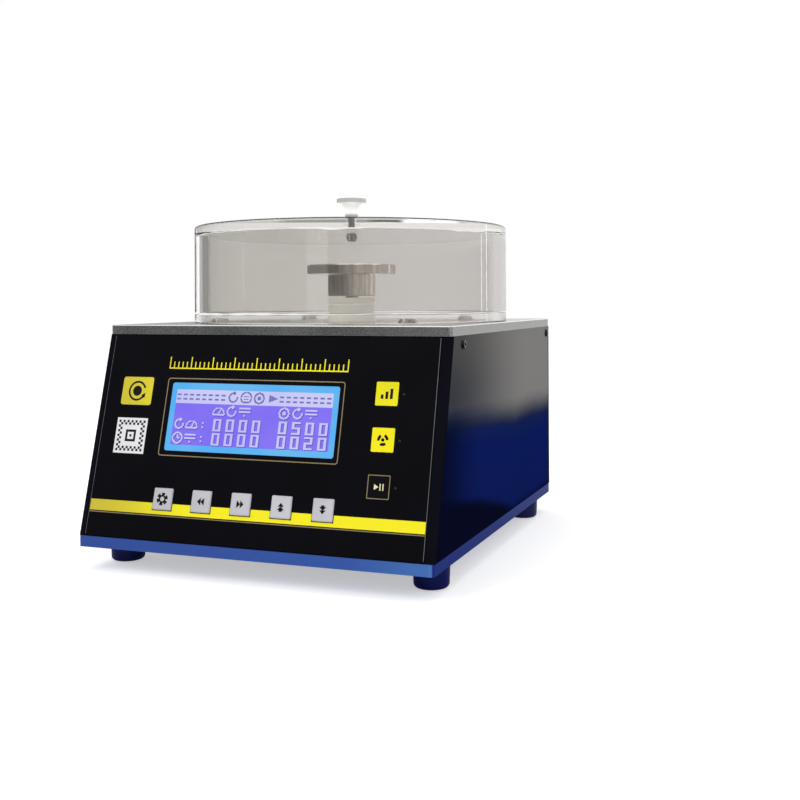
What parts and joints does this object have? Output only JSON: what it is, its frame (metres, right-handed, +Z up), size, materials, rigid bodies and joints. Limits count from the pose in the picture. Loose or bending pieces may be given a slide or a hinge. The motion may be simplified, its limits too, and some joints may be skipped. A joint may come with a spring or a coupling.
{
  "type": "spin coater",
  "caption": "Bench-top spin coater: sloping key and display panel, vacuum chuck on a hollow motor spindle, clear lift-off lid with a knob.",
  "frame": {"origin": "middle of the bounding box in plan, at the level of the feet's undersides", "axes": "+X to the right seen from the front, the front panel faces -Y, +Z up along the chuck's axis"},
  "size_m": [0.2134, 0.264, 0.2171],
  "materials": {
    "blue_anodised": "blue anodised, satin",
    "satin_plate": "satin",
    "post_alloy": "milled",
    "side_paint": "blue-grey, semi-gloss",
    "dark_paint": "black, semi-gloss",
    "foot_rubber": "navy, glossy",
    "zinc_screw": "zinc plated",
    "black_screw": "black oxide",
    "overlay_film": "printed film, gloss",
    "display_pane": "lit display",
    "display_frame": "black bezel",
    "circuit_board": "solder mask",
    "switch_body": "matt black",
    "grey_key": "embossed grey",
    "yellow_key": "embossed yellow",
    "black_key": "embossed black",
    "led_lens": "clear lens",
    "motor_black": "black, satin",
    "laminated_steel": "laminated with copper windings",
    "magnet_steel": "plain",
    "ground_steel": "ground",
    "turned_alloy": "turned, bright",
    "seal_rubber": "matt black",
    "union_brass": "turned",
    "valve_body": "moulded",
    "hose_blue": "polyurethane",
    "nickel_fitting": "nickel plated",
    "socket_black": "moulded black",
    "supply_case": "folded sheet",
    "brass_spacer": "turned",
    "lead_cover": "sleeved leads",
    "clear_seal": "clear silicone",
    "clear_acrylic": "clear acrylic",
    "polished_knob": "polished"
  },
  "bodies": {
    "case": {"base_plate": "blue_anodised", "deck_plate": "satin_plate", "corner_posts": "post_alloy", "left_side_panel": "side_paint", "right_side_panel": "side_paint", "front_panel": "dark_paint", "rear_panel": "dark_paint", "rubber_feet": "foot_rubber", "foot_screws": "zinc_screw", "plate_screws": "zinc_screw", "panel_screws": "black_screw", "panel_overlay": "overlay_film", "display_window": "display_pane", "display_module": "display_frame", "display_board": "circuit_board", "key_switches": "switch_body", "status_leds": "led_lens", "motor_plate": "post_alloy", "deck_screws": "black_screw", "motor_housing": "motor_black", "motor_end_cap": "motor_black", "motor_stator": "laminated_steel", "motor_screws": "black_screw", "bearing_outer_rings": "ground_steel", "bearing_balls": "ground_steel", "spindle_collar": "turned_alloy", "vacuum_union": "union_brass", "union_seal": "seal_rubber", "vacuum_valve": "valve_body", "vacuum_hoses": "hose_blue", "vacuum_port": "nickel_fitting", "power_inlet": "socket_black", "pump_outlet": "socket_black", "power_supply": "supply_case", "control_board": "circuit_board", "board_standoffs": "brass_spacer", "board_screws": "zinc_screw", "wiring_harness": "lead_cover"},
    "rotor": {"spindle": "ground_steel", "motor_rotor": "magnet_steel", "bearing_inner_rings": "ground_steel", "drive_pin": "ground_steel", "spindle_o_ring": "seal_rubber"},
    "chuck_body": {"chuck": "turned_alloy", "chuck_o_ring": "seal_rubber"},
    "lid": {"lid_seal": "clear_seal", "lid_wall": "clear_acrylic", "lid_top": "clear_acrylic", "lid_knob": "polished_knob", "knob_screw": "zinc_screw"},
    "rocker": {"power_rocker": "socket_black"},
    "fuse_holder": {"fuse_drawer": "socket_black"},
    "key_set_body": {"key_set": "grey_key"},
    "key_left_body": {"key_left": "grey_key"},
    "key_right_body": {"key_right": "grey_key"},
    "key_up_body": {"key_up": "grey_key"},
    "key_down_body": {"key_down": "grey_key"},
    "key_mode_body": {"key_mode": "yellow_key"},
    "key_pump_body": {"key_pump": "yellow_key"},
    "key_start_body": {"key_start": "black_key"}
  },
  "joints": [
    {"name": "spindle_spin", "type": "hinge", "parent": "case", "child": "rotor", "pos_m": [0, 0.00955, 0.1356], "axis": [0, 0, 1], "continuous": true},
    {"name": "chuck_lift", "type": "slide", "parent": "rotor", "child": "chuck_body", "axis": [0, 0, 1], "range_m": [0, 0.013]},
    {"name": "lid_lift", "type": "slide", "parent": "case", "child": "lid", "axis": [0, 0, 1], "range_m": [0, 0.1]},
    {"name": "power_rocker_tilt", "type": "hinge", "parent": "case", "child": "rocker", "pos_m": [-0.06, 0.1156, 0.0628], "axis": [0, 0, 1], "range_deg": [0, 20]},
    {"name": "fuse_drawer_slide", "type": "slide", "parent": "case", "child": "fuse_holder", "axis": [0, 1, 0], "range_m": [0, 0.02]},
    {"name": "key_set_press", "type": "slide", "parent": "case", "child": "key_set_body", "axis": [0, 0.9659, -0.2588], "range_m": [0, 0.0004], "stiffness_N_per_m": 800, "springref_m": -0.0005},
    {"name": "key_left_press", "type": "slide", "parent": "case", "child": "key_left_body", "axis": [0, 0.9659, -0.2588], "range_m": [0, 0.0004], "stiffness_N_per_m": 800, "springref_m": -0.0005},
    {"name": "key_right_press", "type": "slide", "parent": "case", "child": "key_right_body", "axis": [0, 0.9659, -0.2588], "range_m": [0, 0.0004], "stiffness_N_per_m": 800, "springref_m": -0.0005},
    {"name": "key_up_press", "type": "slide", "parent": "case", "child": "key_up_body", "axis": [0, 0.9659, -0.2588], "range_m": [0, 0.0004], "stiffness_N_per_m": 800, "springref_m": -0.0005},
    {"name": "key_down_press", "type": "slide", "parent": "case", "child": "key_down_body", "axis": [0, 0.9659, -0.2588], "range_m": [0, 0.0004], "stiffness_N_per_m": 800, "springref_m": -0.0005},
    {"name": "key_mode_press", "type": "slide", "parent": "case", "child": "key_mode_body", "axis": [0, 0.9659, -0.2588], "range_m": [0, 0.0004], "stiffness_N_per_m": 800, "springref_m": -0.0005},
    {"name": "key_pump_press", "type": "slide", "parent": "case", "child": "key_pump_body", "axis": [0, 0.9659, -0.2588], "range_m": [0, 0.0004], "stiffness_N_per_m": 800, "springref_m": -0.0005},
    {"name": "key_start_press", "type": "slide", "parent": "case", "child": "key_start_body", "axis": [0, 0.9659, -0.2588], "range_m": [0, 0.0004], "stiffness_N_per_m": 800, "springref_m": -0.0005}
  ]
}
